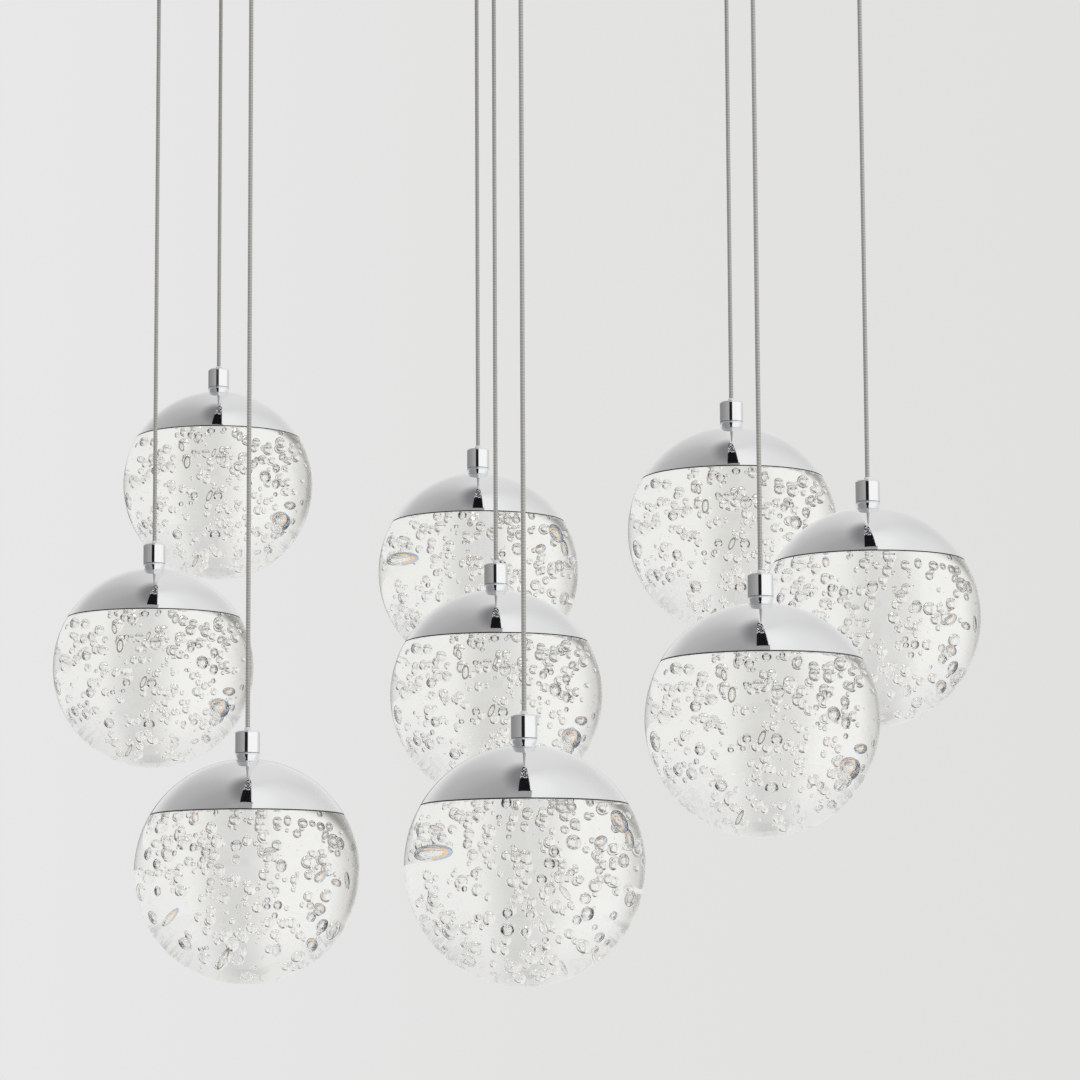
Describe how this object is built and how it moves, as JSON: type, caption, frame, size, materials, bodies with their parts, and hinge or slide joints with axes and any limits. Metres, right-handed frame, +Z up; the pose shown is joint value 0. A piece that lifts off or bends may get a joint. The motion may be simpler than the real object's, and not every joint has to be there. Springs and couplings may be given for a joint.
{
  "type": "cluster pendant light",
  "caption": "Round ceiling canopy with a cluster of solid bubble-glass globes under chrome caps, each on its own thin adjustable cable.",
  "frame": {"origin": "middle of the canopy in the plane of the ceiling, at the centre of the ceiling screw pattern", "axes": "+Z up into the ceiling, -Y towards the viewer of the picture, +X to that viewer's right"},
  "size_m": [0.5399, 0.553, 0.606],
  "materials": {
    "chrome": "polished chrome plate",
    "zinc_steel": "zinc-plated pressed steel",
    "driver_housing": "fine matt moulding",
    "terminal_plastic": "satin moulding",
    "cable_braid": "fine steel braid under a clear sleeve",
    "heat_sink": "bead-blasted aluminium",
    "bubble_glass": "clear solid glass with trapped air bubbles"
  },
  "bodies": {
    "canopy": {"canopy_shell": "chrome", "ceiling_plate": "zinc_steel", "canopy_screws": "chrome", "cable_glands": "chrome", "led_driver": "driver_housing", "terminal_block": "terminal_plastic"},
    "drop_1": {"cable_1": "cable_braid"},
    "pendant_1": {"holder_barrel_1": "chrome", "holder_collar_1": "chrome", "cap_1": "chrome", "led_module_1": "heat_sink", "glass_globe_1": "bubble_glass"},
    "drop_2": {"cable_2": "cable_braid"},
    "pendant_2": {"holder_barrel_2": "chrome", "holder_collar_2": "chrome", "cap_2": "chrome", "led_module_2": "heat_sink", "glass_globe_2": "bubble_glass"},
    "drop_3": {"cable_3": "cable_braid"},
    "pendant_3": {"holder_barrel_3": "chrome", "holder_collar_3": "chrome", "cap_3": "chrome", "led_module_3": "heat_sink", "glass_globe_3": "bubble_glass"},
    "drop_4": {"cable_4": "cable_braid"},
    "pendant_4": {"holder_barrel_4": "chrome", "holder_collar_4": "chrome", "cap_4": "chrome", "led_module_4": "heat_sink", "glass_globe_4": "bubble_glass"},
    "drop_5": {"cable_5": "cable_braid"},
    "pendant_5": {"holder_barrel_5": "chrome", "holder_collar_5": "chrome", "cap_5": "chrome", "led_module_5": "heat_sink", "glass_globe_5": "bubble_glass"},
    "drop_6": {"cable_6": "cable_braid"},
    "pendant_6": {"holder_barrel_6": "chrome", "holder_collar_6": "chrome", "cap_6": "chrome", "led_module_6": "heat_sink", "glass_globe_6": "bubble_glass"},
    "drop_7": {"cable_7": "cable_braid"},
    "pendant_7": {"holder_barrel_7": "chrome", "holder_collar_7": "chrome", "cap_7": "chrome", "led_module_7": "heat_sink", "glass_globe_7": "bubble_glass"},
    "drop_8": {"cable_8": "cable_braid"},
    "pendant_8": {"holder_barrel_8": "chrome", "holder_collar_8": "chrome", "cap_8": "chrome", "led_module_8": "heat_sink", "glass_globe_8": "bubble_glass"},
    "drop_9": {"cable_9": "cable_braid"},
    "pendant_9": {"holder_barrel_9": "chrome", "holder_collar_9": "chrome", "cap_9": "chrome", "led_module_9": "heat_sink", "glass_globe_9": "bubble_glass"}
  },
  "joints": [
    {"name": "swing_1", "type": "hinge", "parent": "canopy", "child": "drop_1", "pos_m": [-0.135, 0.195, -0.045], "axis": [0, 1, 0], "range_deg": [-6, 6]},
    {"name": "height_1", "type": "slide", "parent": "drop_1", "child": "pendant_1", "axis": [0, 0, 1], "range_m": [0, 0.1], "deforming": ["cable_1"]},
    {"name": "swing_2", "type": "hinge", "parent": "canopy", "child": "drop_2", "pos_m": [-0.158, 0.091, -0.045], "axis": [0, 1, 0], "range_deg": [-6, 6]},
    {"name": "height_2", "type": "slide", "parent": "drop_2", "child": "pendant_2", "axis": [0, 0, 1], "range_m": [0, 0.1], "deforming": ["cable_2"]},
    {"name": "swing_3", "type": "hinge", "parent": "canopy", "child": "drop_3", "pos_m": [-0.095, -0.114, -0.045], "axis": [0, 1, 0], "range_deg": [-6, 6]},
    {"name": "height_3", "type": "slide", "parent": "drop_3", "child": "pendant_3", "axis": [0, 0, 1], "range_m": [0, 0.1], "deforming": ["cable_3"]},
    {"name": "swing_4", "type": "hinge", "parent": "canopy", "child": "drop_4", "pos_m": [0.005, 0.087, -0.045], "axis": [0, 1, 0], "range_deg": [-6, 6]},
    {"name": "height_4", "type": "slide", "parent": "drop_4", "child": "pendant_4", "axis": [0, 0, 1], "range_m": [0, 0.1], "deforming": ["cable_4"]},
    {"name": "swing_5", "type": "hinge", "parent": "canopy", "child": "drop_5", "pos_m": [0.015, -0.019, -0.045], "axis": [0, 1, 0], "range_deg": [-6, 6]},
    {"name": "height_5", "type": "slide", "parent": "drop_5", "child": "pendant_5", "axis": [0, 0, 1], "range_m": [0, 0.1], "deforming": ["cable_5"]},
    {"name": "swing_6", "type": "hinge", "parent": "canopy", "child": "drop_6", "pos_m": [0.029, -0.233, -0.045], "axis": [0, 1, 0], "range_deg": [-3, 3]},
    {"name": "height_6", "type": "slide", "parent": "drop_6", "child": "pendant_6", "axis": [0, 0, 1], "range_m": [0, 0.1], "deforming": ["cable_6"]},
    {"name": "swing_7", "type": "hinge", "parent": "canopy", "child": "drop_7", "pos_m": [0.128, -0.009, -0.045], "axis": [0, 1, 0], "range_deg": [-6, 6]},
    {"name": "height_7", "type": "slide", "parent": "drop_7", "child": "pendant_7", "axis": [0, 0, 1], "range_m": [0, 0.1], "deforming": ["cable_7"]},
    {"name": "swing_8", "type": "hinge", "parent": "canopy", "child": "drop_8", "pos_m": [0.13, -0.198, -0.045], "axis": [0, 1, 0], "range_deg": [-3, 3]},
    {"name": "height_8", "type": "slide", "parent": "drop_8", "child": "pendant_8", "axis": [0, 0, 1], "range_m": [0, 0.1], "deforming": ["cable_8"]},
    {"name": "swing_9", "type": "hinge", "parent": "canopy", "child": "drop_9", "pos_m": [0.185, -0.098, -0.045], "axis": [0, 1, 0], "range_deg": [-6, 6]},
    {"name": "height_9", "type": "slide", "parent": "drop_9", "child": "pendant_9", "axis": [0, 0, 1], "range_m": [0, 0.1], "deforming": ["cable_9"]}
  ]
}
